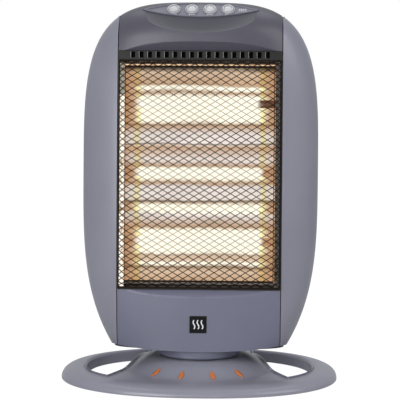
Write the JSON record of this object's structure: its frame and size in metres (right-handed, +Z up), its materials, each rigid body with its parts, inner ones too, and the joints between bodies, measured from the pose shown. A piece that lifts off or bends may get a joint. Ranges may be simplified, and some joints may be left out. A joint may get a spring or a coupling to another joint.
{
  "type": "halogen heater",
  "caption": "Free-standing upright halogen heater with quartz tubes behind a wire guard, push-buttons on top and an oscillating ring base.",
  "frame": {"origin": "on the floor under the middle of the base, on the swing axis", "axes": "+Z up, the front faces -Y, +X is the right-hand side seen from the front"},
  "size_m": [0.35, 0.262, 0.4743],
  "materials": {
    "grey_plastic": "satin moulded, fine grain",
    "base_plastic": "satin moulded, fine grain",
    "neck_gloss": "gloss",
    "dark_plastic": "matte",
    "steel": "zinc plated",
    "rubber": "matte",
    "orange_inlay": "translucent gloss",
    "nylon": "natural",
    "guard_wire": "dark plated",
    "reflector_sheet": "polished",
    "quartz": "frosted, lit",
    "filament": "glowing",
    "ceramic": "unglazed",
    "silver": "silver painted",
    "loom_sleeve": "heat-proof sleeve"
  },
  "bodies": {
    "base": {"base_shell": "base_plastic", "base_cover": "dark_plastic", "base_cover_screws": "steel", "rubber_feet": "rubber", "leaf_inlays": "orange_inlay", "glide_ring": "nylon", "swivel_post": "steel", "post_screws": "steel", "retaining_ring": "steel", "drive_arm": "steel", "arm_screws": "steel", "tip_switch": "dark_plastic", "tip_spring": "steel"},
    "head": {"turntable": "neck_gloss", "turntable_screws": "steel", "floor_plate": "dark_plastic", "frame_rail_left": "steel", "frame_rail_right": "steel", "rear_shell": "grey_plastic", "side_panel_left": "grey_plastic", "side_panel_right": "grey_plastic", "upper_cover": "grey_plastic", "lower_cover": "grey_plastic", "badge_plate": "dark_plastic", "window_frame": "dark_plastic", "guard_mesh": "guard_wire", "reflector": "reflector_sheet", "end_plate_left": "reflector_sheet", "end_plate_right": "reflector_sheet", "lamp_upper": "quartz", "lamp_middle": "quartz", "lamp_lower": "quartz", "filaments": "filament", "lamp_caps": "ceramic", "lamp_clips": "steel", "heat_shield": "steel", "thermal_cutout": "dark_plastic", "control_plate": "grey_plastic", "button_collars": "silver", "switch_block": "dark_plastic", "switch_screws": "steel", "button_spring_1": "steel", "button_spring_2": "steel", "button_spring_3": "steel", "button_spring_4": "steel", "swing_motor": "steel", "motor_bracket": "steel", "motor_screws": "steel", "housing_screws": "steel", "handle_cup": "dark_plastic", "terminal_block": "nylon", "cord_gland": "dark_plastic", "wiring_loom": "loom_sleeve"},
    "button_1": {"button_1": "silver"},
    "button_2": {"button_2": "silver"},
    "button_3": {"button_3": "silver"},
    "button_4": {"button_4": "silver"},
    "tip_plunger": {"tip_plunger": "nylon"},
    "crank": {"crank": "nylon"},
    "link": {"drive_link": "nylon"}
  },
  "joints": [
    {"name": "swing", "type": "hinge", "parent": "base", "child": "head", "pos_m": [0, 0, 0.0375], "axis": [0, 0, 1], "range_deg": [-35, 35]},
    {"name": "button_1_press", "type": "slide", "parent": "head", "child": "button_1", "axis": [0, 0.6157, -0.788], "range_m": [0, 0.0025], "stiffness_N_per_m": 350, "springref_m": -0.002, "deforming": ["button_spring_1"]},
    {"name": "button_2_press", "type": "slide", "parent": "head", "child": "button_2", "axis": [0, 0.6157, -0.788], "range_m": [0, 0.0025], "stiffness_N_per_m": 350, "springref_m": -0.002, "deforming": ["button_spring_2"]},
    {"name": "button_3_press", "type": "slide", "parent": "head", "child": "button_3", "axis": [0, 0.6157, -0.788], "range_m": [0, 0.0025], "stiffness_N_per_m": 350, "springref_m": -0.002, "deforming": ["button_spring_3"]},
    {"name": "button_4_press", "type": "slide", "parent": "head", "child": "button_4", "axis": [0, 0.6157, -0.788], "range_m": [0, 0.0025], "stiffness_N_per_m": 350, "springref_m": -0.002, "deforming": ["button_spring_4"]},
    {"name": "tip_release", "type": "slide", "parent": "base", "child": "tip_plunger", "axis": [0, 0, 1], "range_m": [-0.005, 0], "stiffness_N_per_m": 60, "springref_m": -0.006, "deforming": ["tip_spring"]},
    {"name": "crank_turn", "type": "hinge", "parent": "head", "child": "crank", "pos_m": [0.065, 0, 0.066], "axis": [0, 0, 1], "range_deg": [-90, 90]},
    {"name": "link_turn", "type": "hinge", "parent": "crank", "child": "link", "pos_m": [0.065, -0.012, 0.0605], "axis": [0, 0, 1], "range_deg": [-90, 90]}
  ],
  "couplings": [
    {"joint": "crank_turn", "follows": "swing", "ratio": -2.5714},
    {"joint": "link_turn", "follows": "swing", "ratio": 2.5714}
  ]
}
